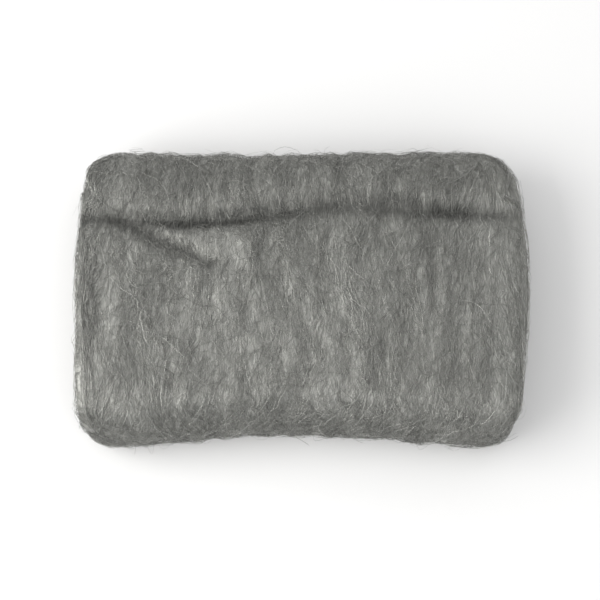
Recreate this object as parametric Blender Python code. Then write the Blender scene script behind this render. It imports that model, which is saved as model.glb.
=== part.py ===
"""Steel wool pad: a ribbon of fine steel fibres, rolled up and pressed flat.

Metres, +Z up. The pad lies on its flat underside at z = 0, centred over the origin.
Its long side, which is the axis of the roll, runs along X. Its two long edges, where
the ribbon turns round, face -Y (front) and +Y (rear).
"""
import math

import bmesh
import bpy
import numpy as np

# Outer size of the pad
LENGTH = 0.100
WIDTH = 0.066
THICKNESS = 0.021

# The roll: how often the ribbon goes round, and how thick it is
TURNS = 4
RIBBON = THICKNESS / 2 / (TURNS + 0.2)
EDGE_SQUARENESS = 2.3  # 2 would turn the ribbon in a half circle
PRESSED_LEVEL = 0.6  # how far pressing evens out the uneven number of layers
LAYER_WOBBLE = 0.13 * RIBBON
LAYER_WOBBLE_PHASE = (11, 2.1)  # radians in one turn, and from turn to turn

# The ribbon's side edges, which show as turns at the two ends of the pad
CORNER_RADIUS = 0.0085
END_BOW = 0.0020
END_LEAN = 0.0007
GROOVE_DEPTH = 0.0040
GROOVE_VARIATION = 0.35
GROOVE_WAVES = (150, 260, -70)  # radians per metre
GROOVE_SIDE_PHASE = 2.2
EDGE_STAGGER = 0.0013
EDGE_WAVES = ((0.7, 0.62, 1.9), (0.3, 2.7, -0.8))  # share, waves in a turn, phase by side

# The ribbon's torn outer end and the crease along it, near the rear of the upper face
LAP_STATION = 1
LAP_TAPER_STATIONS = 4
LAP_SLANT = 0.035
LAP_WANDER = 0.0015
LAP_WANDER_WAVE = (95, 0.6)  # radians per metre, and phase
LAP_WANDER_REACH = 0.018
CREASE_OFFSET_STATIONS = 0.9
CREASE_DEPTH = 0.0020
CREASE_HALF_WIDTH = 0.0018
CREASE_VARIATION = 0.35
CREASE_WAVE = (45, 2.5)

# Short fold that slants forward from the left part of the crease
FOLD_START = (-0.041, 0.0175)
FOLD_END = (-0.020, 0.0070)
FOLD_DEPTH = 0.0016
FOLD_HALF_WIDTH = 0.0020

# Slight line along the front edge of the upper face
FRONT_LINE_CENTRE = (-0.004, -0.0275)
FRONT_LINE_LENGTH = 0.090
FRONT_LINE_DEPTH = 0.0006
FRONT_LINE_HALF_WIDTH = 0.0018
FRONT_LINE_WANDER = 0.0009
FRONT_LINE_WAVE = 55

# Shape of the whole soft pad
FRONT_HOLLOW = 0.0030
REAR_HOLLOW = 0.0008
CROWN = 0.0019
DENT = 0.0004
DENT_WAVES = ((74, 60, 0.0), (-51, 110, 1.3))  # radians per metre along X and Y, and phase
DENTS_BELOW = 0.4  # share of the dents that the underside has
SAG_ONTO_SURFACE = 0.0006

# Locks of fibres that stand up from the wool, side by side along the pad
LOCK_HEIGHT = 0.00050
LOCK_SPACING = 0.0044
LOCK_MEANDER = 0.8  # in half spacings
LOCK_MEANDER_WAVE = (3, 60)  # waves in a turn, and radians per metre
LOCKS_ROUND_A_TURN = 14
LOCK_ROWS = 64  # half spacings before the locks repeat
LOCK_SEED = 13

# Mesh stations round one turn, along the pad and across one layer
RUN_STATIONS = 16
BEND_STATIONS = 12
LENGTH_STATIONS = 64
LAYER_ROWS = (0.0, 0.2, 0.5, 0.8, 1.0)

STATIONS = 2 * (RUN_STATIONS + BEND_STATIONS)
LAST_STATION = TURNS * STATIONS + LAP_STATION
RUN_HALF = WIDTH / 2 - THICKNESS / 2
LAP_Y = RUN_HALF * (1 - 2 * LAP_STATION / RUN_STATIONS)
CREASE_Y = LAP_Y - 2 * RUN_HALF * CREASE_OFFSET_STATIONS / RUN_STATIONS
LOCK_HEIGHTS = np.random.default_rng(LOCK_SEED).uniform(-1, 1, (LOCK_ROWS, LOCKS_ROUND_A_TURN))


def spiral_radius(station):
    """Distance from the innermost fold to the outside of the ribbon at a station."""
    turn, along = divmod(station, STATIONS)
    along /= STATIONS
    radius = RIBBON * (turn + math.sqrt(along))
    if 0 < turn < TURNS - 1:
        phase = LAYER_WOBBLE_PHASE[0] * along + LAYER_WOBBLE_PHASE[1] * turn
        radius += LAYER_WOBBLE * math.sin(math.pi * along) * math.sin(phase)
    return radius


def lap_thickness(station):
    """Share of the ribbon's thickness that is left towards its torn outer end."""
    to_go = (LAST_STATION - station) / LAP_TAPER_STATIONS
    return 1.0 if to_go >= 1 else 1 - (1 - to_go) ** 3


def layer(station):
    """Distance from the innermost fold to the ribbon, and the ribbon's thickness."""
    outside = spiral_radius(station)
    inside = spiral_radius(station - STATIONS) if station >= STATIONS else 0.0
    return inside, (outside - inside) * lap_thickness(station)


def layer_radius(station, across):
    """Distance from the innermost fold at a share of the way across a layer."""
    inside, thickness = layer(station)
    return inside + thickness * across


def outer_station(place):
    """The outermost station of the ribbon at one of the places round the pad."""
    turns_below = TURNS if place <= LAP_STATION else TURNS - 1
    return turns_below * STATIONS + place


def around(place, radius):
    """Point (y, z) at a place round a flattened turn of the given radius."""
    outer = layer_radius(outer_station(place), 1.0)
    radius *= (THICKNESS / 2 / outer) ** PRESSED_LEVEL
    if place < RUN_STATIONS:
        return RUN_HALF * (1 - 2 * place / RUN_STATIONS), radius
    place -= RUN_STATIONS
    if place < BEND_STATIONS:
        angle = math.pi * (0.5 + place / BEND_STATIONS)
        return bend(-RUN_HALF, angle, radius)
    place -= BEND_STATIONS
    if place < RUN_STATIONS:
        return RUN_HALF * (2 * place / RUN_STATIONS - 1), -radius
    place -= RUN_STATIONS
    angle = math.pi * (place / BEND_STATIONS - 0.5)
    return bend(RUN_HALF, angle, radius)


def bend(centre, angle, radius):
    """Point (y, z) on the bend at a long edge of the pad."""
    power = 2 / EDGE_SQUARENESS
    out, up = math.cos(angle), math.sin(angle)
    return (centre + radius * math.copysign(abs(out) ** power, out),
            radius * math.copysign(abs(up) ** power, up))


def end_distance(y, z, station, side):
    """How far the ribbon's edge and the grooves beside it reach from the pad's middle."""
    past = max(0.0, abs(y) - (WIDTH / 2 - CORNER_RADIUS))
    corner = CORNER_RADIUS - math.sqrt(max(0.0, CORNER_RADIUS ** 2 - past ** 2))
    lean = END_LEAN * side * 2 * z / THICKNESS
    reach = LENGTH / 2 - corner - END_BOW * (2 * y / WIDTH) ** 2 + lean
    along_y, along_z, slant = GROOVE_WAVES
    uneven = math.sin(along_y * y + GROOVE_SIDE_PHASE * side) * math.cos(along_z * z + slant * y)
    groove = reach - GROOVE_DEPTH * (1 + GROOVE_VARIATION * uneven)
    turns = station / STATIONS
    stagger = sum(share * math.sin(2 * math.pi * waves * turns + phase * side)
                  for share, waves, phase in EDGE_WAVES)
    return reach + EDGE_STAGGER * stagger, groove


def edge_point(station, across, side):
    """Point on the ribbon's side edge, rounded over between two grooves."""
    y, z = around(station % STATIONS, layer_radius(station, across))
    crest, groove = end_distance(y, z, station, side)
    rounding = math.sqrt(4 * across * (1 - across))
    rounding *= min(1.0, layer(station)[1] / RIBBON)
    return side * (groove + (crest - groove) * rounding), y, z


def lock_relief(x, place):
    """Height of the locks of fibres at a place on the outside, from -1 to 1."""
    waves, phase_per_metre = LOCK_MEANDER_WAVE
    meander = math.sin(2 * math.pi * waves * place / STATIONS + phase_per_metre * x)
    beside = 2 * x / LOCK_SPACING + LOCK_MEANDER * meander
    along = LOCKS_ROUND_A_TURN * place / STATIONS
    row, column = math.floor(beside), math.floor(along)
    part_row, part_column = beside - row, along - column
    part_row *= part_row * (3 - 2 * part_row)
    part_column *= part_column * (3 - 2 * part_column)
    height = 0.0
    for step_row, share_row in ((0, 1 - part_row), (1, part_row)):
        for step_column, share_column in ((0, 1 - part_column), (1, part_column)):
            lock = ((row + step_row) % LOCK_ROWS, (column + step_column) % LOCKS_ROUND_A_TURN)
            height += share_row * share_column * LOCK_HEIGHTS[lock]
    return height


def lap_shift(x, y):
    """How far the torn end lies forward or back of a straight line along the pad."""
    per_metre, phase = LAP_WANDER_WAVE
    wander = LAP_WANDER * math.sin(per_metre * x + phase) + LAP_SLANT * x
    return wander * max(0.0, 1 - abs(y - LAP_Y) / LAP_WANDER_REACH)


def crease(x, y):
    """Depth of the crease along the ribbon's torn outer end."""
    per_metre, phase = CREASE_WAVE
    uneven = 1 - CREASE_VARIATION + CREASE_VARIATION * math.sin(per_metre * x + phase)
    return CREASE_DEPTH * uneven * math.exp(-((y - CREASE_Y) / CREASE_HALF_WIDTH) ** 2)


def fold(x, y):
    """Depth of the short fold that slants forward from the left part of the crease."""
    run_x, run_y = FOLD_END[0] - FOLD_START[0], FOLD_END[1] - FOLD_START[1]
    length = math.hypot(run_x, run_y)
    away_x, away_y = x - FOLD_START[0], y - FOLD_START[1]
    along = (away_x * run_x + away_y * run_y) / length
    beside = (away_x * run_y - away_y * run_x) / length
    past_ends = max(0.0, -along, along - length)
    return FOLD_DEPTH * math.exp(-(beside ** 2 + past_ends ** 2) / FOLD_HALF_WIDTH ** 2)


def front_line(x, y):
    """Depth of the slight line along the front edge of the upper face."""
    centre_x, centre_y = FRONT_LINE_CENTRE
    beside = y - centre_y - FRONT_LINE_WANDER * math.sin(FRONT_LINE_WAVE * x)
    from_middle = min(0.5, abs(x - centre_x) / FRONT_LINE_LENGTH)
    depth = FRONT_LINE_DEPTH * math.cos(math.pi * from_middle)
    return depth * math.exp(-(beside / FRONT_LINE_HALF_WIDTH) ** 2)


def soften(x, y, z):
    """Move a point of the straight pad to where it is on the soft, uneven one."""
    along, up = 2 * x / LENGTH, 2 * z / THICKNESS
    above, below = max(0.0, up), min(0.0, up)
    front, rear = max(0.0, -2 * y / WIDTH), max(0.0, 2 * y / WIDTH)
    hollow = (1 - along ** 2) ** 2 if abs(along) < 1 else 0.0
    new_y = y + FRONT_HOLLOW * hollow * front ** 3 - REAR_HOLLOW * hollow * rear ** 3
    new_y += above * lap_shift(x, y)
    crown = CROWN * (1 - along ** 2) * (1 - (2 * y / WIDTH) ** 2)
    dents = DENT * sum(math.sin(wave_x * x + wave_y * y + phase)
                       for wave_x, wave_y, phase in DENT_WAVES)
    new_z = z + above * (crown + dents) + DENTS_BELOW * below * dents
    pressed = math.hypot(crease(x, y), fold(x, y)) + front_line(x, y)
    new_z -= above ** 2 * pressed
    return x, new_y, new_z


class SharedPoints:
    """Vertices of one mesh, with one vertex wherever neighbouring faces meet."""

    def __init__(self, mesh):
        self.mesh = mesh
        self.known = {}

    def vertex(self, point):
        key = tuple(round(value * 1e7) for value in point)
        if key not in self.known:
            self.known[key] = self.mesh.verts.new(point)
        return self.known[key]

    def face(self, points):
        corners = []
        for point in points:
            corner = self.vertex(point)
            if corner not in corners:
                corners.append(corner)
        if len(corners) > 2:
            self.mesh.faces.new(corners)


def add_end(shared, side):
    """One end of the pad, with the turns of the ribbon standing up between grooves."""
    for station in range(LAST_STATION):
        for low, high in zip(LAYER_ROWS, LAYER_ROWS[1:]):
            shared.face([edge_point(station, low, side),
                         edge_point(station + 1, low, side),
                         edge_point(station + 1, high, side),
                         edge_point(station, high, side)])


def skin_point(place, share):
    """Point on the outside of the pad, at a share of the way from end to end."""
    place %= STATIONS
    station = outer_station(place)
    left, y, z = edge_point(station, 1.0, -1)
    right = edge_point(station, 1.0, 1)[0]
    x = left + (right - left) * share
    relief = LOCK_HEIGHT * lock_relief(x, place) * math.sqrt(math.sin(math.pi * share))
    past_run = max(0.0, abs(y) - RUN_HALF)
    out_y = math.copysign(past_run, y) * relief / (THICKNESS / 2)
    return x, y + out_y, z * (1 + relief / (THICKNESS / 2))


def add_skin(shared):
    """The outside of the last turn, from one end of the pad to the other."""
    for place in range(STATIONS):
        for step in range(LENGTH_STATIONS):
            near, far = step / LENGTH_STATIONS, (step + 1) / LENGTH_STATIONS
            shared.face([skin_point(place, near), skin_point(place, far),
                         skin_point(place + 1, far), skin_point(place + 1, near)])


def fit_to_size(mesh):
    """Bring the soft shape to the pad's outer size, with its flat spot at z = 0."""
    low = [min(vertex.co[axis] for vertex in mesh.verts) for axis in range(3)]
    high = [max(vertex.co[axis] for vertex in mesh.verts) for axis in range(3)]
    low[2] += SAG_ONTO_SURFACE
    size = (LENGTH, WIDTH, THICKNESS)
    start = (-LENGTH / 2, -WIDTH / 2, 0.0)
    for vertex in mesh.verts:
        for axis in range(3):
            share = (vertex.co[axis] - low[axis]) / (high[axis] - low[axis])
            vertex.co[axis] = start[axis] + size[axis] * max(0.0, share)


def steel_wool():
    """Dull grey steel fibres."""
    material = bpy.data.materials.new("steel_wool")
    material.use_nodes = True
    shader = material.node_tree.nodes["Principled BSDF"]
    shader.inputs["Base Color"].default_value = (0.27, 0.27, 0.26, 1.0)
    shader.inputs["Metallic"].default_value = 0.9
    shader.inputs["Roughness"].default_value = 0.55
    return material


def build_pad():
    """The rolled and flattened ribbon, as one solid."""
    mesh = bmesh.new()
    shared = SharedPoints(mesh)
    add_end(shared, -1)
    add_end(shared, 1)
    add_skin(shared)
    for vertex in mesh.verts:
        vertex.co = soften(*vertex.co)
    fit_to_size(mesh)
    bmesh.ops.recalc_face_normals(mesh, faces=mesh.faces)
    data = bpy.data.meshes.new("steel_wool_pad")
    mesh.to_mesh(data)
    mesh.free()
    data.shade_smooth()
    data.materials.append(steel_wool())
    pad = bpy.data.objects.new("steel_wool_pad", data)
    bpy.context.collection.objects.link(pad)


for old in list(bpy.data.objects):
    bpy.data.objects.remove(old, do_unlink=True)
build_pad()
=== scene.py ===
"""Steel wool pad: a ribbon of fine steel fibres, rolled up and pressed flat.

Metres, +Z up. The pad lies on a pale floor, its long side and the axis of the roll
along X, and the camera looks down on its broad face.
"""
import math

import bmesh
import bpy
import numpy as np
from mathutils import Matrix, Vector


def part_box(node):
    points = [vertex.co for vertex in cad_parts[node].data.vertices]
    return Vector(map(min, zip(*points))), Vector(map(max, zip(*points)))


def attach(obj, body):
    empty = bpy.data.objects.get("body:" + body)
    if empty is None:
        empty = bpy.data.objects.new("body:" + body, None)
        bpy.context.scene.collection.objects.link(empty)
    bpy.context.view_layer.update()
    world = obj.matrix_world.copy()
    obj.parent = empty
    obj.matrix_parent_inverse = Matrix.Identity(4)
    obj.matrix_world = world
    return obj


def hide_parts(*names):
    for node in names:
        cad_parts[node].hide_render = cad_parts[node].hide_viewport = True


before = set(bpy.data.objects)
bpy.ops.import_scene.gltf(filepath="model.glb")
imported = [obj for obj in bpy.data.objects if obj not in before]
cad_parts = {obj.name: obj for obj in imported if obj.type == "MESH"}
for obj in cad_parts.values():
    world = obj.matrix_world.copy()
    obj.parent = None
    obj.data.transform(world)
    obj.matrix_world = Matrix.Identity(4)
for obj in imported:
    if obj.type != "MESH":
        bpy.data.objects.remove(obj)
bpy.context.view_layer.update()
PAD_LOW, PAD_HIGH = (np.array(corner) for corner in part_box("steel_wool_pad"))

# Outer size of the pad
LENGTH, WIDTH, THICKNESS = PAD_HIGH - PAD_LOW

# The roll: how often the ribbon goes round, and how thick it is
TURNS = 4
LAP_ROOM = 0.2  # room for the ribbon's end over the last turn, in its thicknesses
RIBBON = THICKNESS / 2 / (TURNS + LAP_ROOM)
EDGE_SQUARENESS = 2.3  # 2 would turn the ribbon in a half circle
PRESSED_LEVEL = 0.6  # how far pressing evens out the uneven number of layers
LAYER_WOBBLE = 0.13 * RIBBON
LAYER_WOBBLE_PHASE = (11, 2.1)  # radians in one turn, and from turn to turn

# The ribbon's side edges, which show as turns at the two ends of the pad
CORNER_RADIUS = 0.0085
END_BOW = 0.0020
END_LEAN = 0.0007
GROOVE_DEPTH = 0.0040
GROOVE_VARIATION = 0.35
GROOVE_WAVES = (150, 260, -70)  # radians per metre along Y and Z, and slanting
GROOVE_SIDE_PHASE = 2.2
EDGE_STAGGER = 0.0013
EDGE_WAVES = ((0.7, 0.62, 1.9), (0.3, 2.7, -0.8))  # share, waves in a turn, phase by side
RIM_REACH = 0.9 * math.pi  # how far fibres of the skin go over the rim, in radians

# The ribbon's torn outer end and the crease along it, near the rear of the upper face
LAP_STATION = 1
LAP_TAPER_STATIONS = 4
LAP_SLANT = 0.035
LAP_WANDER = 0.0015
LAP_WANDER_WAVE = (95, 0.6)  # radians per metre, and phase
LAP_WANDER_REACH = 0.018
CREASE_OFFSET_STATIONS = 0.9
CREASE_DEPTH = 0.0020
CREASE_HALF_WIDTH = 0.0018
CREASE_VARIATION = 0.35
CREASE_WAVE = (45, 2.5)  # radians per metre, and phase
CREASE_RIGHT_PART = (0.034, 0.013, 0.35)  # middle, half width, added share

# Short fold that slants forward from the left part of the crease
FOLD_START = (-0.041, 0.0175)
FOLD_END = (-0.020, 0.0070)
FOLD_DEPTH = 0.0016
FOLD_HALF_WIDTH = 0.0020

# Painted shade: wool in and beside the crease and the fold is painted darker, where little light
# comes in
CREASE_PAINTED_SHADE = 0.72
FOLD_PAINTED_SHADE = 0.35
DIM_STREAKS = (0.011, 0.0013, 0.40)  # usual length, usual width, share that they change
DIM_STREAK_SEED = 23
DIM_END_FADE = 0.016
DIM_AT_ENDS = 0.3  # share of the dimness that is left at the ends of the pad

# Slight line along the front edge of the upper face
FRONT_LINE_CENTRE = (-0.004, -0.0275)
FRONT_LINE_LENGTH = 0.090
FRONT_LINE_DEPTH = 0.0006
FRONT_LINE_HALF_WIDTH = 0.0018
FRONT_LINE_WANDER = 0.0009
FRONT_LINE_WAVE = 55  # radians per metre

# Shape of the whole soft pad
FRONT_HOLLOW = 0.0030
REAR_HOLLOW = 0.0008
CROWN = 0.0019
DENT = 0.0004
DENT_WAVES = ((74, 60, 0.0), (-51, 110, 1.3))  # radians per metre along X and Y, and phase
DENTS_BELOW = 0.4  # share of the dents that the underside has
SAG_ONTO_SURFACE = 0.0006

# Locks of fibres that stand up from the wool, side by side along the pad
LOCK_HEIGHT = 0.00050
LOCK_SPACING = 0.0044
LOCK_MEANDER = 0.8  # in half spacings
LOCK_MEANDER_WAVE = (3, 60)  # waves in a turn, and radians per metre
LOCKS_ROUND_A_TURN = 14
LOCK_SEED = 13

# Stations round one turn: along each broad face and round each long edge
RUN_STATIONS = 16
BEND_STATIONS = 12
STATIONS = 2 * (RUN_STATIONS + BEND_STATIONS)
LAST_STATION = TURNS * STATIONS + LAP_STATION
RUN_HALF = WIDTH / 2 - THICKNESS / 2
STATION_LENGTH = 2 * RUN_HALF / RUN_STATIONS
LAP_Y = RUN_HALF * (1 - 2 * LAP_STATION / RUN_STATIONS)
CREASE_Y = LAP_Y - 2 * RUN_HALF * CREASE_OFFSET_STATIONS / RUN_STATIONS

# Layers of noise along the ribbon: seed, width, number in a turn and size of each
WOOL_STREAKS = ((11, 0.0011, 12, 0.00014), (12, 0.0005, 20, 0.00008))
SHARED_LEAN = ((21, 0.013, 12, 0.30), (22, 0.0040, 24, 0.25))  # sizes in radians
EDGE_STREAK_RADIUS = 0.002  # metres of streaks for each radian over the ribbon's edge
NOISE_CELLS = 64


def noise(seed, u, v, cells_round=NOISE_CELLS):
    """Smooth random height from -1 to 1, at places given in cells of a repeating grid."""
    grid = np.random.default_rng(seed).uniform(-1, 1, (NOISE_CELLS, cells_round))
    cell_u, cell_v = np.floor(u).astype(int), np.floor(v).astype(int)
    part_u, part_v = u - cell_u, v - cell_v
    part_u = part_u * part_u * (3 - 2 * part_u)
    part_v = part_v * part_v * (3 - 2 * part_v)
    height = 0
    for step_u, share_u in ((0, 1 - part_u), (1, part_u)):
        for step_v, share_v in ((0, 1 - part_v), (1, part_v)):
            corner = grid[(cell_u + step_u) % NOISE_CELLS, (cell_v + step_v) % cells_round]
            height = height + share_u * share_v * corner
    return height


def layered_noise(layers, place, x, round_a_turn=True):
    """Layers of noise that run along the ribbon, and repeat after each turn if asked to."""
    return sum(size * noise(seed, x / width, number * place / STATIONS,
                            number if round_a_turn else NOISE_CELLS)
               for seed, width, number, size in layers)


def wool_relief(place, x, round_a_turn=True):
    """Fine unevenness of the wool: streaks that run along the ribbon."""
    return layered_noise(WOOL_STREAKS, place, x, round_a_turn)


def spiral_radius(station):
    """Distance from the innermost fold to the outside of the ribbon at a station."""
    turn = np.floor(station / STATIONS)
    along = station / STATIONS - turn
    phase = LAYER_WOBBLE_PHASE[0] * along + LAYER_WOBBLE_PHASE[1] * turn
    inner_turn = (turn > 0) & (turn < TURNS - 1)
    wobble = LAYER_WOBBLE * np.sin(np.pi * along) * np.sin(phase)
    return RIBBON * (turn + np.sqrt(along)) + inner_turn * wobble


def layer(station):
    """Distance from the innermost fold to the ribbon, and the ribbon's thickness."""
    inside = np.where(station >= STATIONS, spiral_radius(np.maximum(station - STATIONS, 0)), 0.0)
    to_go = np.clip((LAST_STATION - station) / LAP_TAPER_STATIONS, 0, 1)
    return inside, (spiral_radius(station) - inside) * (1 - (1 - to_go) ** 3)


def layer_outside(station):
    """Distance from the innermost fold to the outside of the ribbon as it lies."""
    inside, thickness = layer(station)
    return inside + thickness


def outer_station(place):
    """The outermost station of the ribbon at a place round the pad."""
    return place + STATIONS * np.where(place <= LAP_STATION, TURNS, TURNS - 1)


def bend(centre, angle, radius):
    """Point (y, z) on the bend at a long edge of the pad."""
    power = 2 / EDGE_SQUARENESS
    out, up = np.cos(angle), np.sin(angle)
    return (centre + radius * np.sign(out) * np.abs(out) ** power,
            radius * np.sign(up) * np.abs(up) ** power)


def around(place, radius):
    """Point (y, z) at a place round a flattened turn of the given radius."""
    inside, thickness = layer(outer_station(place))
    radius = radius * (THICKNESS / 2 / (inside + thickness)) ** PRESSED_LEVEL
    bend_start, run_start = RUN_STATIONS, RUN_STATIONS + BEND_STATIONS
    rear_start = run_start + RUN_STATIONS
    front = bend(-RUN_HALF, np.pi * (0.5 + (place - bend_start) / BEND_STATIONS), radius)
    rear = bend(RUN_HALF, np.pi * ((place - rear_start) / BEND_STATIONS - 0.5), radius)
    parts = [place < bend_start, place < run_start, place < rear_start]
    y = np.select(parts, [RUN_HALF * (1 - 2 * place / RUN_STATIONS), front[0],
                          RUN_HALF * (2 * (place - run_start) / RUN_STATIONS - 1)], rear[0])
    z = np.select(parts, [radius, front[1], -radius], rear[1])
    return y, z


def end_distance(y, z, station, side):
    """How far the ribbon's edge and the grooves beside it reach from the pad's middle."""
    past = np.maximum(0.0, np.abs(y) - (WIDTH / 2 - CORNER_RADIUS))
    corner = CORNER_RADIUS - np.sqrt(np.maximum(0.0, CORNER_RADIUS ** 2 - past ** 2))
    lean = END_LEAN * side * 2 * z / THICKNESS
    reach = LENGTH / 2 - corner - END_BOW * (2 * y / WIDTH) ** 2 + lean
    along_y, along_z, slant = GROOVE_WAVES
    uneven = np.sin(along_y * y + GROOVE_SIDE_PHASE * side) * np.cos(along_z * z + slant * y)
    groove = reach - GROOVE_DEPTH * (1 + GROOVE_VARIATION * uneven)
    turns = station / STATIONS
    stagger = sum(share * np.sin(2 * np.pi * waves * turns + phase * side)
                  for share, waves, phase in EDGE_WAVES)
    return reach + EDGE_STAGGER * stagger, groove


def edge_point(station, over, side, lift=0.0):
    """Point on the ribbon's rounded side edge: over goes from 0 outside to pi inside."""
    inside, thickness = layer(station)
    radius = inside + thickness * (1 + np.cos(over)) / 2 + lift * np.cos(over)
    y, z = around(station % STATIONS, np.maximum(radius, 0.0))
    crest, groove = end_distance(y, z, station, side)
    fullness = np.minimum(1.0, thickness / RIBBON)
    return side * (groove + (crest - groove + lift) * np.sin(over) * fullness), y, z


def lock_relief(x, place):
    """Height of the locks of fibres at a place on the outside, from -1 to 1."""
    waves, phase_per_metre = LOCK_MEANDER_WAVE
    meander = np.sin(2 * np.pi * waves * place / STATIONS + phase_per_metre * x)
    beside = 2 * x / LOCK_SPACING + LOCK_MEANDER * meander
    return noise(LOCK_SEED, beside, LOCKS_ROUND_A_TURN * place / STATIONS, LOCKS_ROUND_A_TURN)


def lap_shift(x, y):
    """How far the torn end lies forward or back of a straight line along the pad."""
    per_metre, phase = LAP_WANDER_WAVE
    wander = LAP_WANDER * np.sin(per_metre * x + phase) + LAP_SLANT * x
    return wander * np.maximum(0.0, 1 - np.abs(y - LAP_Y) / LAP_WANDER_REACH)


def crease(x, y):
    """Depth of the crease along the ribbon's torn outer end."""
    per_metre, phase = CREASE_WAVE
    uneven = 1 - CREASE_VARIATION + CREASE_VARIATION * np.sin(per_metre * x + phase)
    middle, half_width, added = CREASE_RIGHT_PART
    uneven = uneven + added * np.exp(-((x - middle) / half_width) ** 2)
    return CREASE_DEPTH * uneven * np.exp(-((y - CREASE_Y) / CREASE_HALF_WIDTH) ** 2)


def fold(x, y):
    """Depth of the short fold that slants forward from the left part of the crease."""
    run_x, run_y = FOLD_END[0] - FOLD_START[0], FOLD_END[1] - FOLD_START[1]
    length = math.hypot(run_x, run_y)
    away_x, away_y = x - FOLD_START[0], y - FOLD_START[1]
    along = (away_x * run_x + away_y * run_y) / length
    beside = (away_x * run_y - away_y * run_x) / length
    past_ends = np.maximum(0.0, np.maximum(-along, along - length))
    return FOLD_DEPTH * np.exp(-(beside ** 2 + past_ends ** 2) / FOLD_HALF_WIDTH ** 2)


def front_line(x, y):
    """Depth of the slight line along the front edge of the upper face."""
    centre_x, centre_y = FRONT_LINE_CENTRE
    beside = y - centre_y - FRONT_LINE_WANDER * np.sin(FRONT_LINE_WAVE * x)
    from_middle = np.minimum(0.5, np.abs(x - centre_x) / FRONT_LINE_LENGTH)
    depth = FRONT_LINE_DEPTH * np.cos(np.pi * from_middle)
    return depth * np.exp(-(beside / FRONT_LINE_HALF_WIDTH) ** 2)


def painted_crease_shade(points):
    """Painted shade on the wool, from 1 down: darker in and beside the crease and the fold."""
    x, y, z = np.moveaxis(points, -1, 0)
    y = y - lap_shift(x, y)
    depth = crease(x, y) + FOLD_PAINTED_SHADE * fold(x, y)
    length, width, change = DIM_STREAKS
    streaks = 1 - change + change * noise(DIM_STREAK_SEED, x / length, y / width)
    from_end = np.clip((LENGTH / 2 - np.abs(x)) / DIM_END_FADE, 0, 1)
    left = DIM_AT_ENDS + (1 - DIM_AT_ENDS) * from_end
    dim = np.sqrt(np.minimum(1.0, depth / CREASE_DEPTH)) * streaks * left
    return 1 - CREASE_PAINTED_SHADE * np.where(z > THICKNESS / 2, dim, 0.0)


def soften(x, y, z):
    """Move points of the straight pad to where they are on the soft, uneven one."""
    along, up = 2 * x / LENGTH, 2 * z / THICKNESS
    above, below = np.maximum(0.0, up), np.minimum(0.0, up)
    front, rear = np.maximum(0.0, -2 * y / WIDTH), np.maximum(0.0, 2 * y / WIDTH)
    hollow = np.where(np.abs(along) < 1, (1 - along ** 2) ** 2, 0.0)
    new_y = y + FRONT_HOLLOW * hollow * front ** 3 - REAR_HOLLOW * hollow * rear ** 3
    new_y = new_y + above * lap_shift(x, y)
    crown = CROWN * (1 - along ** 2) * (1 - (2 * y / WIDTH) ** 2)
    dents = DENT * sum(np.sin(wave_x * x + wave_y * y + phase)
                       for wave_x, wave_y, phase in DENT_WAVES)
    new_z = z + above * (crown + dents) + DENTS_BELOW * below * dents
    pressed = np.hypot(crease(x, y), fold(x, y)) + front_line(x, y)
    new_z = new_z - above ** 2 * pressed
    return np.stack([x, new_y, new_z], axis=-1)


def skin_point(place, across, lift=0.0):
    """Point on the outside of the pad. Past the skin's ends, across goes over the rim."""
    place = place % STATIONS
    station = outer_station(place)
    side = np.sign(across)
    outside = layer_outside(station)
    skin_end = end_distance(*around(place, outside), station, side)[1]
    y, z = around(place, outside + lift)
    share = np.clip(np.abs(across) / skin_end, 0, 1)
    relief = LOCK_HEIGHT * lock_relief(across, place) * np.sqrt(np.cos(np.pi / 2 * share))
    past_run = np.maximum(0.0, np.abs(y) - RUN_HALF)
    y = y + np.sign(y) * past_run * relief / (THICKNESS / 2)
    z = z * (1 + relief / (THICKNESS / 2))
    past_rim = np.maximum(0.0, np.abs(across) - skin_end)
    rim = edge_point(station, np.minimum(past_rim / GROOVE_DEPTH, RIM_REACH), side, lift)
    over_rim = past_rim > 0
    return tuple(np.where(over_rim, edge, flat) for edge, flat in zip(rim, (across, y, z)))


class Fit:
    """Brings the soft shape to the pad's outer size, with its flat spot at z = 0."""

    def __init__(self, points):
        self.low = points.min(axis=0)
        self.high = points.max(axis=0)
        self.low[2] += SAG_ONTO_SURFACE

    def __call__(self, points, floor=0.0):
        fitted = PAD_LOW + (points - self.low) / (self.high - self.low) * (PAD_HIGH - PAD_LOW)
        fitted[..., 2] = np.maximum(fitted[..., 2], PAD_LOW[2] + floor)
        return fitted


# The rolled ribbon under the loose fibres
CORE_STEPS_PER_STATION = 3
CORE_LENGTH_STEPS = 130
CORE_EDGE_STEPS = 8
CORE_SINK = 0.00022
MERGE_STEPS = 1e7  # in a metre: points that share a step are doubles

# Its map for baking, in shares of the map's side: the skin, and below it the two ends
MAP_MIDDLE = 0.5
SKIN_ON_MAP = (0.49, 0.31, 0.68)  # half width, bottom and height
ENDS_ON_MAP = (0.25, 0.48, 0.15, 0.28)  # distance from the middle, width, middle and height


def grid_faces(first, rows, columns):
    """Quads between neighbours of a grid of points numbered row by row."""
    row, column = np.meshgrid(np.arange(rows - 1), np.arange(columns - 1), indexing="ij")
    corner = first + (row * columns + column).ravel()
    return np.stack([corner, corner + 1, corner + 1 + columns, corner + columns], axis=1)


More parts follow.
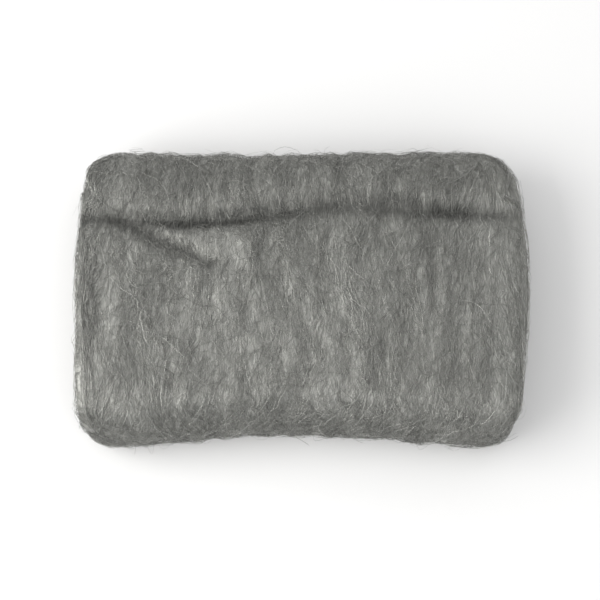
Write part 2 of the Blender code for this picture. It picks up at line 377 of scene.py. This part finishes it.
def ribbon_skin():
    """Grid over the outside of the last turn: its points and its two UV maps."""
    places = np.linspace(0, STATIONS, STATIONS * CORE_STEPS_PER_STATION + 1)
    shares = np.linspace(-1, 1, CORE_LENGTH_STEPS + 1)
    place, share = np.meshgrid(places, shares, indexing="ij")
    outer = outer_station(place % STATIONS)
    y, z = around(place % STATIONS, layer_outside(outer))
    left, right = (end_distance(y, z, outer, side)[1] for side in (-1, 1))
    across = np.where(share < 0, left, right) * share
    points = soften(*skin_point(place, across))
    ribbon = np.stack([across, place * STATION_LENGTH], axis=-1)
    half_width, bottom, height = SKIN_ON_MAP
    bake = np.stack([MAP_MIDDLE + half_width * share, bottom + height * place / STATIONS], axis=-1)
    return points, ribbon, bake


def ribbon_end(side):
    """Grid over one end, along the ribbon's edge from the innermost fold outwards."""
    stations = np.linspace(0, LAST_STATION, LAST_STATION * CORE_STEPS_PER_STATION + 1)
    overs = np.linspace(0, np.pi, CORE_EDGE_STEPS + 1)
    station, over = np.meshgrid(stations, overs, indexing="ij")
    x, y, z = edge_point(station, over, side)
    ribbon = np.stack([x + EDGE_STREAK_RADIUS * over, station * STATION_LENGTH], axis=-1)
    aside, width, middle, height = ENDS_ON_MAP
    bake = np.stack([MAP_MIDDLE + side * aside + width * y / WIDTH,
                     middle + height * z / THICKNESS], axis=-1)
    return soften(x, y, z), ribbon, bake


def merged(points, faces):
    """The points with doubles as one, the faces with their doubled corners dropped."""
    keys = np.round(points * MERGE_STEPS).astype(np.int64)
    _, first, same = np.unique(keys, axis=0, return_index=True, return_inverse=True)
    same = same.ravel()
    kept_corners, kept_faces = [], []
    for face in faces.tolist():
        corners = []
        for corner in face:
            if all(same[corner] != same[other] for other in corners):
                corners.append(corner)
        if len(corners) > 2:
            kept_corners.extend(corners)
            kept_faces.append([int(same[corner]) for corner in corners])
    return points[first], kept_faces, first, np.array(kept_corners)


def build_core(material):
    """The roll itself, closed all over, with the turns standing up at both ends."""
    parts = [ribbon_skin(), ribbon_end(-1), ribbon_end(1)]
    faces, first = [], 0
    for grid, _, _ in parts:
        faces.append(grid_faces(first, *grid.shape[:2]))
        first += grid.shape[0] * grid.shape[1]
    points, ribbon, bake = (np.concatenate([part[k].reshape(-1, part[k].shape[-1])
                                            for part in parts]) for k in range(3))
    fit = Fit(points)
    corners, kept_faces, kept, loops = merged(points, np.concatenate(faces))
    core = new_piece("rolled_ribbon", fit(corners), kept_faces, material)
    add_uv_map(core, "ribbon", ribbon[loops])
    add_uv_map(core, "OFBake", bake[loops])
    face_outwards(core)
    normals = np.empty(3 * len(corners))
    core.data.vertex_normals.foreach_get("vector", normals)
    across, place = ribbon[kept, 0], ribbon[kept, 1] / STATION_LENGTH
    relief = wool_relief(place, across, round_a_turn=False) - CORE_SINK
    shaped = fit(corners) + normals.reshape(-1, 3) * relief[:, None]
    shaped[:, 2] = np.maximum(shaped[:, 2], PAD_LOW[2])
    core.data.vertices.foreach_set("co", shaped.ravel())
    # Painted shade of the crease and the fold, kept on the core as its light attribute
    light = core.data.attributes.new("light", "FLOAT", "POINT")
    light.data.foreach_set("value", painted_crease_shade(shaped))
    core.data.update()
    return core, fit


def face_outwards(piece):
    """Turn every face of a closed piece outwards."""
    mesh = bmesh.new()
    mesh.from_mesh(piece.data)
    bmesh.ops.recalc_face_normals(mesh, faces=mesh.faces)
    mesh.to_mesh(piece.data)
    mesh.free()


def add_uv_map(piece, name, places):
    """A UV map with the given places of the corners of the piece's faces."""
    uv_map = piece.data.uv_layers.new(name=name)
    uv_map.data.foreach_set("uv", places.ravel())


def new_piece(name, points, faces, material):
    """A smooth mesh object at the origin that rides on the pad's body."""
    mesh = bpy.data.meshes.new(name)
    mesh.from_pydata(points.reshape(-1, 3).tolist(), [], faces)
    mesh.materials.append(material)
    mesh.shade_smooth()
    piece = bpy.data.objects.new(name, mesh)
    bpy.context.collection.objects.link(piece)
    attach(piece, "root")
    return piece


# Loose fibres
SIDES = 3
TIP_THICKNESS = 0.35  # share of the middle's
TIP_POWER = 0.4  # a smaller one thins the fibre nearer to its ends
ODD_DIRECTION = (0.83, 0.21, 0.52)  # any one in which hardly any fibre starts
LENGTH_SPREAD = (0.35, 0.3, 2.0)  # spread, and the limits in usual lengths
WIDTH_SPREAD = (0.3, 0.6, 2.2)  # spread, and the limits in usual widths
FLOOR_GAP = 0.00004

# Their shades, which are bands one above the other on their map
SHADES = 24
SHADE_MIX = (3.0, 3.6)  # weight of bright ones and of dull ones
BELOW_TOP = 0.9999  # keeps the brightest fibre within the last band
BAND_PART = (0.2, 0.8)  # part of a band's height that the fibres use
CAP_ON_MAP = (0.0, 0.02, 0.01)

# Waves in them, each a usual length and a size: to the side, up, and round the ribbon's edge
CRIMP = ((0.034, 0.16), (0.017, 0.22), (0.009, 0.24), (0.0052, 0.20))
BILLOW = ((0.012, 0.00010), (0.0055, 0.00006))
EDGE_CRIMP = ((0.030, 0.30), (0.012, 0.30), (0.006, 0.20))
WAVE_SPREAD = (0.7, 1.4)  # shortest and longest, in usual lengths

# How they lie over the wool
HIGHEST_ARCH = 5  # in usual arches
END_TUCK = 0.0006
TUCK_POWER = 7  # a larger one tucks in less of the fibre
SKIN_MARGIN = 0.001
SKIN_FREE_ENDS = 0.10  # share of the fibres whose ends stand up

# Those along the ribbon's side edges
EDGE_FREE_ENDS = 0.15
EDGE_STARTS = (0.06, 0.94)  # shares of the way over the edge
EDGE_LIMITS = (0.03, 0.97)
EDGE_BARE_STATIONS = (0.5, 0.2)  # at the innermost fold, and at the torn end

# Stray hairs
STRAY_CURL = 110  # radians per metre
STRAY_CRIMP = 1.6  # in times the crimp of the others
STRAY_BILLOW = 1.5
STRAY_LOOPS = 0.5  # share that are loops, while the rest have one end free
STRAY_SKEW = (0.55, 1.8)  # powers that move a loop's top towards one of its ends
STRAY_RISE_POWER = 1.5
STRAY_HIGHEST = 4.5  # in usual heights
STRAY_ROOT = 0.0003

# Those that stick out of the torn end
TORN_BEYOND = (0.5, 2.4)  # usual and longest, in stations
TORN_MARGIN = 0.002
TORN_HEIGHTS = (-0.0020, 0.0001)
TORN_DROOP_STATIONS = 0.9
TORN_LOWEST = -0.0002


def fibre_frames(paths):
    """Two directions square to each fibre all along it, carried on without a twist."""
    run = np.gradient(paths, axis=1)
    run /= np.linalg.norm(run, axis=2, keepdims=True)
    carried = np.empty_like(run)
    start = np.cross(run[:, 0], np.array(ODD_DIRECTION))
    for point in range(paths.shape[1]):
        along = run[:, point]
        start = start - (start * along).sum(1, keepdims=True) * along
        start /= np.linalg.norm(start, axis=1, keepdims=True)
        carried[:, point] = start
    return carried, np.cross(run, carried)


def fibre_mesh(paths, widths):
    """Corners and faces of closed three-sided fibres, narrower towards their ends."""
    count, points = paths.shape[:2]
    share = np.linspace(0, 1, points)
    fullness = TIP_THICKNESS + (1 - TIP_THICKNESS) * np.sin(np.pi * share) ** TIP_POWER
    radii = widths[:, None] / 2 * fullness
    first, second = fibre_frames(paths)
    angles = 2 * np.pi * np.arange(SIDES) / SIDES
    ring = (np.cos(angles)[:, None] * first[:, :, None]
            + np.sin(angles)[:, None] * second[:, :, None])
    corners = paths[:, :, None] + radii[:, :, None, None] * ring
    corners[..., 2] = np.maximum(corners[..., 2], PAD_LOW[2])

    base = np.arange(count)[:, None, None] * points * SIDES
    step = np.arange(points - 1)[None, :, None] * SIDES
    side = np.arange(SIDES)[None, None, :]
    after = (side + 1) % SIDES
    near, far = base + step, base + step + SIDES
    quads = np.stack([near + side, near + after, far + after, far + side], axis=-1).reshape(-1, 4)
    fibre_base = base[:, 0]
    starts = fibre_base + np.arange(SIDES)[::-1]
    ends = fibre_base + (points - 1) * SIDES + np.arange(SIDES)
    return corners, quads.tolist() + starts.tolist() + ends.tolist()


def shade_map(paths, shades):
    """Places on the fibres' map: how far along each goes across; its shade, darkened by the
    painted shade of the crease, goes up.
    """
    count, points = paths.shape[:2]
    share = np.linspace(0, 1, points)
    # each fibre's own shade, times the painted shade of the crease and the fold
    lit = shades[:, None] * painted_crease_shade((paths[:, 1:] + paths[:, :-1]) / 2)
    low = np.floor(lit * SHADES * BELOW_TOP) / SHADES
    bottom, top = np.array(BAND_PART) / SHADES
    u = np.stack([share[:-1], share[:-1], share[1:], share[1:]], axis=-1)[None, :, None, :]
    band = np.broadcast_to(low[:, :, None, None], (count, points - 1, SIDES, 4))
    v = band + np.array([bottom, top, top, bottom])
    sides = np.stack([np.broadcast_to(u, v.shape), v], axis=-1).reshape(-1, 2)
    caps = np.empty((count, SIDES, 2))
    caps[..., 0] = CAP_ON_MAP
    caps[..., 1] = low[:, :1] + np.array([bottom, bottom, top])
    caps = caps.reshape(-1, 2)
    return np.concatenate([sides, caps, caps])


def sizes_near(rng, usual, spread, count):
    """Random sizes, most of them near the usual one, and all within their limits."""
    sigma, least, most = spread
    return np.clip(rng.lognormal(math.log(usual), sigma, count), least * usual, most * usual)


def cut_fibres(rng, count, points, length):
    """Random lengths of fibres, and how far along each its points are."""
    lengths = sizes_near(rng, length, LENGTH_SPREAD, count)
    return lengths, lengths[:, None] * np.linspace(0, 1, points)


def sway(rng, along, waves):
    """Smooth random swaying of each fibre at distances along it."""
    total = np.zeros_like(along)
    for length, size in waves:
        spacing = length * rng.uniform(*WAVE_SPREAD, (len(along), 1))
        phase = rng.uniform(0, 2 * np.pi, (len(along), 1))
        height = rng.normal(0, size, (len(along), 1))
        total += height * np.sin(2 * np.pi * along / spacing + phase)
    return total


def lift_profile(rng, along, lifts, arch, free_ends):
    """How high each fibre lies over the wool: tucked in at its ends, or free there."""
    share = along / along[:, -1:]
    count = len(along)
    base = rng.uniform(*lifts, (count, 1))
    height = np.minimum(rng.exponential(arch, (count, 1)), HIGHEST_ARCH * arch)
    bow = height * np.sin(np.pi * share)
    tuck = np.where(rng.random((count, 1)) < free_ends, -1.0, 1.0)
    ends = END_TUCK * tuck * np.abs(2 * share - 1) ** TUCK_POWER
    return base + bow - ends + sway(rng, along, BILLOW)


def skin_track(place, across, headings, lengths):
    """Follow fibres over the skin from their starts, leaning with their neighbours."""
    step = lengths / (headings.shape[1] - 1)
    places, acrosses = [place], [across]
    for heading in headings.T[:-1]:
        angle = heading + layered_noise(SHARED_LEAN, place % STATIONS, across)
        place = place + np.cos(angle) * step / STATION_LENGTH
        across = np.clip(across + np.sin(angle) * step, -LENGTH / 2, LENGTH / 2)
        places.append(place)
        acrosses.append(across)
    return np.stack(places, axis=1), np.stack(acrosses, axis=1)


def settled(fit, point):
    """Points of fibres as they lie on the soft pad, just clear of the floor."""
    return fit(soften(*point), FLOOR_GAP)


def skin_paths(rng, fit, count, points, places, length, spread, lifts, arch):
    """Fibres on the outside of the pad that run round it."""
    lengths, along = cut_fibres(rng, count, points, length)
    place = rng.uniform(*places, count) - lengths / 2 / STATION_LENGTH
    reach = LENGTH / 2 - SKIN_MARGIN
    across = rng.uniform(-reach, reach, count)
    headings = rng.normal(0, spread, (count, 1)) + sway(rng, along, CRIMP)
    place, across = skin_track(place, across, headings, lengths)
    lift = lift_profile(rng, along, lifts, arch, SKIN_FREE_ENDS)
    lift = lift + wool_relief(place % STATIONS, across)
    return settled(fit, skin_point(place, across, lift))


def edge_paths(rng, fit, side, count, points, length, lifts, arch):
    """Fibres along the ribbon's edge, following its turns round one end of the pad."""
    lengths, along = cut_fibres(rng, count, points, length)
    middle = rng.uniform(0, LAST_STATION, (count, 1))
    station = middle + (along - lengths[:, None] / 2) / STATION_LENGTH
    bare_inside, bare_outside = EDGE_BARE_STATIONS
    station = np.clip(station, bare_inside, LAST_STATION - bare_outside)
    over = rng.uniform(*EDGE_STARTS, (count, 1)) * np.pi
    over = over + sway(rng, along, EDGE_CRIMP)
    over = np.clip(over, *(share * np.pi for share in EDGE_LIMITS))
    lift = lift_profile(rng, along, lifts, arch, EDGE_FREE_ENDS)
    lift = lift + wool_relief(station, over * EDGE_STREAK_RADIUS, round_a_turn=False)
    return settled(fit, edge_point(station, over, side, lift))


def stray_paths(rng, fit, count, points, length, height):
    """Short curled hairs that lie any way round and stand off the wool."""
    lengths, along = cut_fibres(rng, count, points, length)
    place = rng.uniform(0, STATIONS, count)
    across = rng.uniform(-LENGTH / 2, LENGTH / 2, count)
    curl = rng.normal(0, STRAY_CURL, (count, 1)) * along
    headings = rng.uniform(-np.pi, np.pi, (count, 1)) + curl
    headings = headings + STRAY_CRIMP * sway(rng, along, CRIMP)
    place, across = skin_track(place, across, headings, lengths)
    share = along / along[:, -1:]
    skewed = share ** rng.uniform(*STRAY_SKEW, (count, 1))
    is_loop = rng.random((count, 1)) < STRAY_LOOPS
    rise = np.where(is_loop, np.sin(np.pi * skewed), share ** STRAY_RISE_POWER)
    top = np.minimum(rng.exponential(height, (count, 1)), STRAY_HIGHEST * height)
    lift = (STRAY_ROOT + top) * rise - STRAY_ROOT + STRAY_BILLOW * sway(rng, along, BILLOW)
    return settled(fit, skin_point(place, across, lift))


def torn_end_paths(rng, fit, count, points, length, spread):
    """Fibres that stick out of the ribbon's torn end and droop onto the turn below."""
    lengths, along = cut_fibres(rng, count, points, length)
    usual, longest = TORN_BEYOND
    beyond = np.minimum(rng.exponential(usual, count), longest)
    place = LAP_STATION + beyond - lengths / STATION_LENGTH
    across = rng.uniform(TORN_MARGIN - LENGTH / 2, LENGTH / 2 - TORN_MARGIN, count)
    headings = rng.normal(0, spread, (count, 1)) + sway(rng, along, CRIMP)
    place, across = skin_track(place, across, headings, lengths)
    torn_end = layer_outside(LAST_STATION - LAP_TAPER_STATIONS / 2)
    held = torn_end + rng.uniform(*TORN_HEIGHTS, (count, 1))
    below = layer_outside(outer_station(place % STATIONS))
    droop = np.exp(-np.maximum(0.0, place - LAP_STATION) / TORN_DROOP_STATIONS)
    lift = np.maximum((held - below) * droop, TORN_LOWEST) + sway(rng, along, BILLOW)
    return settled(fit, skin_point(place, across, lift))


def add_fibres(name, material, seed, width, paths):
    """One piece of fibres along the paths: most are fine, a few are broad shavings."""
    rng = np.random.default_rng(seed)
    widths = sizes_near(rng, width, WIDTH_SPREAD, len(paths))
    shades = rng.beta(*SHADE_MIX, len(paths))
    piece = new_piece(name, *fibre_mesh(paths, widths), material)
    add_uv_map(piece, "OFBake", shade_map(paths, shades))


# Finishes: their greys, each with its place on the colour ramp
FIBRE_GREYS = ((0.0, (0.168, 0.169, 0.159)), (0.5, (0.338, 0.340, 0.321)),
               (0.8, (0.535, 0.538, 0.508)), (1.0, (0.955, 0.96, 0.91)))
# The packed wool's greys: the steel's, made darker than the fibres' as painted shade of the deep
# wool between them
WOOL_GREYS = ((0.38, (0.150, 0.151, 0.142)), (0.56, (0.300, 0.302, 0.284)),
              (0.70, (0.480, 0.483, 0.454)))

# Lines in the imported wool: how many in a metre, waves in a metre, and slant in degrees
STRAIGHT_LINES = (7000, 260, 0)
SLANTING_LINES = (5200, 300, 14)
LINE_BENDS = (260.0, 0.0030)  # how many in a metre, and how far they go
LINE_RELIEF = (0.9, 0.00025)  # strength, and height in metres
CLOUD_DETAIL = 2.0


def new_material(name, metallic, roughness):
    """A Principled material, its node tree and its shader."""
    material = bpy.data.materials.new(name)
    material.use_nodes = True
    shader = material.node_tree.nodes["Principled BSDF"]
    shader.inputs["Metallic"].default_value = metallic
    shader.inputs["Roughness"].default_value = roughness
    return material, material.node_tree, shader


def uv_place(tree, name):
    """The place of a point on one of the piece's UV maps."""
    place = tree.nodes.new("ShaderNodeUVMap")
    place.uv_map = name
    return place.outputs["UV"]


def maths(tree, kind, operation, *sources):
    """A maths node, with its first inputs linked to the sources in turn."""
    node = tree.nodes.new(kind)
    node.operation = operation
    for source, socket in zip(sources, node.inputs):
        tree.links.new(source, socket)
    return node


def colour_ramp(tree, share, stops):
    """The colour at a share of the way along a ramp with the given places and greys."""
    ramp = tree.nodes.new("ShaderNodeValToRGB")
    while len(ramp.color_ramp.elements) < len(stops):
        ramp.color_ramp.elements.new(0.5)
    for element, (place, colour) in zip(ramp.color_ramp.elements, stops):
        element.position = place
        element.color = (*colour, 1.0)
    tree.links.new(share, ramp.inputs["Fac"])
    return ramp.outputs["Color"]


def cloud(tree, place, scale):
    """A noise texture that reads the given places."""
    texture = tree.nodes.new("ShaderNodeTexNoise")
    texture.inputs["Scale"].default_value = scale
    texture.inputs["Detail"].default_value = CLOUD_DETAIL
    tree.links.new(place, texture.inputs["Vector"])
    return texture


def fibre_finish():
    """Bright and dull steel fibres: the shade of each, with the painted shade of the crease, is
    its height on the UV map.
    """
    material, tree, shader = new_material("steel_fibres", metallic=0.92, roughness=0.24)
    split = tree.nodes.new("ShaderNodeSeparateXYZ")
    tree.links.new(uv_place(tree, "OFBake"), split.inputs["Vector"])
    colour = colour_ramp(tree, split.outputs["Y"], FIBRE_GREYS)
    tree.links.new(colour, shader.inputs["Base Color"])
    return material


def fibre_lines(tree, place, across, along, slant):
    """Thin wavy lines side by side, as of fibres that lie close together."""
    stretch = tree.nodes.new("ShaderNodeMapping")
    stretch.inputs["Rotation"].default_value = (0, 0, math.radians(slant))
    stretch.inputs["Scale"].default_value = (across, along, 1)
    tree.links.new(place, stretch.inputs["Vector"])
    return cloud(tree, stretch.outputs["Vector"], 1.0).outputs["Fac"]


def ribbon_finish():
    """Close-packed wool seen between the loose fibres, streaked along the ribbon: steel grey made
    darker as painted shade of the deep wool, with painted shade in the crease and the fold.
    """
    material, tree, shader = new_material("packed_wool", metallic=0.85, roughness=0.45)
    place = uv_place(tree, "ribbon")
    bends_per_metre, swing = LINE_BENDS
    bends = cloud(tree, place, bends_per_metre)
    swung = maths(tree, "ShaderNodeVectorMath", "SCALE", bends.outputs["Color"])
    swung.inputs["Scale"].default_value = swing
    bent = maths(tree, "ShaderNodeVectorMath", "ADD", place, swung.outputs["Vector"])
    straight = fibre_lines(tree, bent.outputs["Vector"], *STRAIGHT_LINES)
    slanting = fibre_lines(tree, bent.outputs["Vector"], *SLANTING_LINES)
    lines = maths(tree, "ShaderNodeMath", "MAXIMUM", straight, slanting).outputs["Value"]
    # Painted shade: the light attribute darkens the wool in the crease and the fold
    light = tree.nodes.new("ShaderNodeAttribute")
    light.attribute_name = "light"
    lit = maths(tree, "ShaderNodeVectorMath", "SCALE", colour_ramp(tree, lines, WOOL_GREYS))
    tree.links.new(light.outputs["Fac"], lit.inputs["Scale"])
    tree.links.new(lit.outputs["Vector"], shader.inputs["Base Color"])
    bump = tree.nodes.new("ShaderNodeBump")
    bump.inputs["Strength"].default_value, bump.inputs["Distance"].default_value = LINE_RELIEF
    tree.links.new(lines, bump.inputs["Height"])
    tree.links.new(bump.outputs["Normal"], shader.inputs["Normal"])
    return material


# The pad: where its fibres lie, in stations round it, and how high over the wool
TOP_PLACES = (-6, RUN_STATIONS + 6)
LOOSE_PLACES = (-9, RUN_STATIONS + 9)
UNDER_PLACES = (RUN_STATIONS + 4, STATIONS - 4)
DEEP_LIFTS = (-0.00032, 0.00012)
LOOSE_LIFTS = (-0.00022, 0.00026)
FINE_LIFTS = (-0.0001, 0.0003)
EDGE_LIFTS = (-0.0003, 0.0003)

fibres = fibre_finish()
core, fit = build_core(ribbon_finish())
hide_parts("steel_wool_pad")

rng = np.random.default_rng(31)
add_fibres("upper_fibres_deep", fibres, seed=41, width=0.000065, paths=skin_paths(
    rng, fit, count=1750, points=17, places=TOP_PLACES, length=0.032, spread=0.24,
    lifts=DEEP_LIFTS, arch=0.0001))
add_fibres("upper_fibres_loose", fibres, seed=42, width=0.000060, paths=skin_paths(
    rng, fit, count=2600, points=13, places=LOOSE_PLACES, length=0.017, spread=0.80,
    lifts=LOOSE_LIFTS, arch=0.0002))
add_fibres("upper_fibres_fine", fibres, seed=44, width=0.000050, paths=skin_paths(
    rng, fit, count=1600, points=9, places=LOOSE_PLACES, length=0.011, spread=1.20,
    lifts=FINE_LIFTS, arch=0.00015))
add_fibres("under_fibres", fibres, seed=43, width=0.000070, paths=skin_paths(
    rng, fit, count=1400, points=13, places=UNDER_PLACES, length=0.024, spread=0.50,
    lifts=DEEP_LIFTS, arch=0.0001))
for side, name, seed in ((-1, "left", 44), (1, "right", 46)):
    add_fibres(f"{name}_end_fibres", fibres, seed=seed, width=0.000065, paths=edge_paths(
        rng, fit, side, count=1600, points=13, length=0.020, lifts=EDGE_LIFTS, arch=0.0002))
add_fibres("stray_hairs", fibres, seed=47, width=0.000045, paths=stray_paths(
    rng, fit, count=1950, points=11, length=0.0078, height=0.0007))
add_fibres("torn_end_fibres", fibres, seed=48, width=0.000060, paths=torn_end_paths(
    rng, fit, count=420, points=9, length=0.010, spread=0.30))


# Floor, background and light
FLOOR_SIZE = 6.0
FLOOR_COLOUR = (0.90, 0.90, 0.90)
FLOOR_FADE = (0.16, 0.42)  # distances from the middle at which it starts and ends
WORLD_LIGHT = 0.80
WHITE = (1.0, 1.0, 1.0, 1.0)


def background_rays(tree):
    """Whether a ray comes from the camera, or from a mirror or a window before it."""
    rays = tree.nodes.new("ShaderNodeLightPath")
    seen = rays.outputs["Is Camera Ray"]
    for name in ("Is Glossy Ray", "Is Transmission Ray"):
        seen = maths(tree, "ShaderNodeMath", "MAXIMUM", seen, rays.outputs[name]).outputs["Value"]
    return seen


def build_floor():
    """A plain pale floor that fades to white away from the pad and its shadow."""
    bpy.ops.object.select_all(action="DESELECT")
    bpy.ops.mesh.primitive_plane_add(size=FLOOR_SIZE, location=(0, 0, PAD_LOW[2]))
    floor = bpy.context.object
    floor.name = "floor"
    material, tree, shader = new_material("pale_floor", metallic=0.0, roughness=0.9)
    shader.inputs["Base Color"].default_value = (*FLOOR_COLOUR, 1.0)
    place = tree.nodes.new("ShaderNodeTexCoord")
    distance = maths(tree, "ShaderNodeVectorMath", "LENGTH", place.outputs["Object"])
    fade = tree.nodes.new("ShaderNodeMapRange")
    fade.interpolation_type = "SMOOTHSTEP"
    fade.inputs["From Min"].default_value, fade.inputs["From Max"].default_value = FLOOR_FADE
    tree.links.new(distance.outputs["Value"], fade.inputs["Value"])
    seen = maths(tree, "ShaderNodeMath", "MULTIPLY", fade.outputs["Result"], background_rays(tree))
    white = tree.nodes.new("ShaderNodeEmission")
    mix = tree.nodes.new("ShaderNodeMixShader")
    tree.links.new(seen.outputs["Value"], mix.inputs["Fac"])
    tree.links.new(shader.outputs["BSDF"], mix.inputs[1])
    tree.links.new(white.outputs["Emission"], mix.inputs[2])
    tree.links.new(mix.outputs["Shader"], tree.nodes["Material Output"].inputs["Surface"])
    floor.data.materials.append(material)


def build_world():
    """Even studio light from all round, and white behind the floor."""
    world = bpy.data.worlds.new("studio")
    bpy.context.scene.world = world
    world.use_nodes = True
    tree = world.node_tree
    light = tree.nodes["Background"]
    white = tree.nodes.new("ShaderNodeBackground")
    for background, strength in ((light, WORLD_LIGHT), (white, 1.0)):
        background.inputs["Color"].default_value = WHITE
        background.inputs["Strength"].default_value = strength
    mix = tree.nodes.new("ShaderNodeMixShader")
    tree.links.new(background_rays(tree), mix.inputs["Fac"])
    tree.links.new(light.outputs["Background"], mix.inputs[1])
    tree.links.new(white.outputs["Background"], mix.inputs[2])
    tree.links.new(mix.outputs["Shader"], tree.nodes["World Output"].inputs["Surface"])


def aim(thing, target):
    """Turn a lamp or a camera towards a point."""
    direction = Vector(target) - thing.location
    thing.rotation_euler = direction.to_track_quat("-Z", "Y").to_euler()


def add_lamp(name, place, size, power, colour):
    """A square softbox that faces the pad."""
    lamp = bpy.data.lights.new(name, "AREA")
    lamp.size = size
    lamp.energy = power
    lamp.color = colour
    softbox = bpy.data.objects.new(name, lamp)
    softbox.location = place
    bpy.context.collection.objects.link(softbox)
    aim(softbox, (0, 0, 0))


def add_camera(azimuth, elevation, distance, lens, target):
    """The camera, at an angle round the pad and above the floor, in degrees."""
    turn, rise = math.radians(azimuth), math.radians(elevation)
    out, up = math.cos(rise), math.sin(rise)
    back = Vector((math.sin(turn) * out, -math.cos(turn) * out, up))
    data = bpy.data.cameras.new("camera")
    data.lens = lens
    camera = bpy.data.objects.new("camera", data)
    camera.location = Vector(target) + distance * back
    bpy.context.collection.objects.link(camera)
    aim(camera, target)
    bpy.context.scene.camera = camera


build_floor()
build_world()
add_lamp("key_softbox", place=(-0.34, -0.08, 0.28), size=0.40, power=1.62,
         colour=(1.0, 0.99, 0.97))
add_lamp("fill_softbox", place=(0.50, -0.40, 0.45), size=0.50, power=0.25,
         colour=(0.96, 0.98, 1.0))
add_camera(azimuth=0, elevation=75, distance=0.50, lens=135, target=(0, 0, 0.008))
bpy.context.scene.view_settings.view_transform = "Standard"
